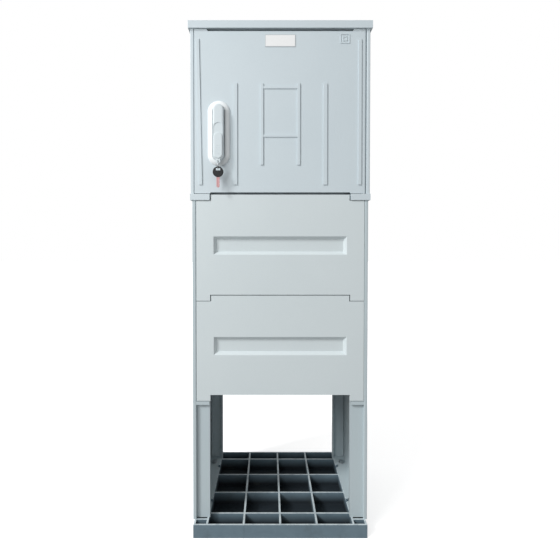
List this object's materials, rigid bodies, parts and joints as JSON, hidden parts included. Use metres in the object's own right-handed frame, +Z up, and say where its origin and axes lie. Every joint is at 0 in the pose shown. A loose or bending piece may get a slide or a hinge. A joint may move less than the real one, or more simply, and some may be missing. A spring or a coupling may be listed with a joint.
{
  "type": "cable distribution cabinet",
  "caption": "Free-standing light grey cabinet with a ribbed hinged door and swing handle on an open plinth with pull-off covers and a ground grid.",
  "frame": {"origin": "middle of the ground grid's underside, on its central rib", "axes": "+Z up, -Y towards the front with the door, +X to the right seen from the front"},
  "size_m": [0.47, 0.37, 1.325],
  "materials": {
    "smc_grey": "moulded polyester, satin",
    "grid_dark": "moulded, dull",
    "handle_white": "semi-gloss",
    "handle_grey": "semi-gloss",
    "zinc_steel": "zinc plated",
    "rubber_black": "matt",
    "key_black": "semi-gloss",
    "key_metal": "worn, coppery",
    "label_white": "plain, no lettering"
  },
  "bodies": {
    "cabinet": {"base_grid": "grid_dark", "plinth_wall_left": "smc_grey", "plinth_wall_right": "smc_grey", "collar_frame": "smc_grey", "cover_grommets_front": "rubber_black", "cover_grommets_back": "rubber_black", "foot_bolts": "zinc_steel", "foot_washers": "zinc_steel", "collar_bolts": "zinc_steel", "collar_nuts": "zinc_steel", "clamp_rail": "zinc_steel", "rail_bolts": "zinc_steel", "cabinet_wall_left": "smc_grey", "cabinet_wall_right": "smc_grey", "cabinet_back": "smc_grey", "back_screws": "zinc_steel", "roof": "smc_grey", "roof_screws": "zinc_steel", "lintel": "smc_grey", "sill": "smc_grey", "frame_screws": "zinc_steel", "floor_plate_front": "zinc_steel", "floor_plate_rear": "zinc_steel", "mounting_plate": "zinc_steel", "board_spacers": "zinc_steel", "board_screws": "zinc_steel", "hinge_pins": "zinc_steel", "hinge_washers": "zinc_steel"},
    "door": {"door_panel": "smc_grey", "door_gasket": "rubber_black", "label_plate": "label_white", "handle_dish": "handle_white", "dish_screws": "zinc_steel", "latch_case": "zinc_steel", "latch_case_screws": "zinc_steel", "rod_guides": "zinc_steel", "guide_screws": "zinc_steel"},
    "spindle": {"handle_spindle": "zinc_steel", "spindle_clip": "zinc_steel", "latch_pinion": "zinc_steel"},
    "lever": {"lever": "handle_grey", "lever_pin": "zinc_steel", "lock_body": "zinc_steel"},
    "lock_lid": {"lock_cover": "handle_grey"},
    "lock_core": {"lock_plug": "zinc_steel"},
    "ring": {"key_ring": "zinc_steel"},
    "key": {"key_head": "key_black", "key_blade": "key_metal"},
    "upper_rod": {"rack_upper": "zinc_steel", "rod_upper": "zinc_steel"},
    "lower_rod": {"rack_lower": "zinc_steel", "rod_lower": "zinc_steel"},
    "front_upper": {"front_cover_upper": "smc_grey"},
    "front_lower": {"front_cover_lower": "smc_grey"},
    "back_upper": {"back_cover_upper": "smc_grey"},
    "back_lower": {"back_cover_lower": "smc_grey"}
  },
  "joints": [
    {"name": "door_swing", "type": "hinge", "parent": "cabinet", "child": "door", "pos_m": [0.215, -0.155, 0.878], "axis": [0, 0, 1], "range_deg": [0, 100]},
    {"name": "handle_turn", "type": "hinge", "parent": "door", "child": "spindle", "pos_m": [-0.157, -0.169, 1.088], "axis": [0, -1, 0], "range_deg": [0, 90]},
    {"name": "handle_lift", "type": "hinge", "parent": "spindle", "child": "lever", "pos_m": [-0.157, -0.174, 1.094], "axis": [-1, 0, 0], "range_deg": [0, 40]},
    {"name": "lid_slide", "type": "slide", "parent": "lever", "child": "lock_lid", "axis": [0, 0, 1], "range_m": [0, 0.025]},
    {"name": "lock_turn", "type": "hinge", "parent": "lever", "child": "lock_core", "pos_m": [-0.157, -0.174, 0.976], "axis": [0, -1, 0], "range_deg": [0, 90]},
    {"name": "ring_swing", "type": "hinge", "parent": "lever", "child": "ring", "pos_m": [-0.157, -0.179, 0.9557], "axis": [0, 1, 0], "range_deg": [-20, 20]},
    {"name": "key_swing", "type": "hinge", "parent": "ring", "child": "key", "pos_m": [-0.157, -0.179, 0.9395], "axis": [0, 1, 0], "range_deg": [-20, 20]},
    {"name": "upper_rod_slide", "type": "slide", "parent": "door", "child": "upper_rod", "axis": [0, 0, -1], "range_m": [0, 0.0165]},
    {"name": "lower_rod_slide", "type": "slide", "parent": "door", "child": "lower_rod", "axis": [0, 0, 1], "range_m": [0, 0.0165]},
    {"name": "front_upper_pull", "type": "slide", "parent": "cabinet", "child": "front_upper", "axis": [0, -1, 0], "range_m": [0, 0.25]},
    {"name": "front_lower_pull", "type": "slide", "parent": "cabinet", "child": "front_lower", "axis": [0, -1, 0], "range_m": [0, 0.25]},
    {"name": "back_upper_pull", "type": "slide", "parent": "cabinet", "child": "back_upper", "axis": [0, 1, 0], "range_m": [0, 0.25]},
    {"name": "back_lower_pull", "type": "slide", "parent": "cabinet", "child": "back_lower", "axis": [0, 1, 0], "range_m": [0, 0.25]}
  ],
  "couplings": [
    {"joint": "upper_rod_slide", "follows": "handle_turn", "m_per_rad": 0.0105},
    {"joint": "lower_rod_slide", "follows": "handle_turn", "m_per_rad": 0.0105}
  ]
}
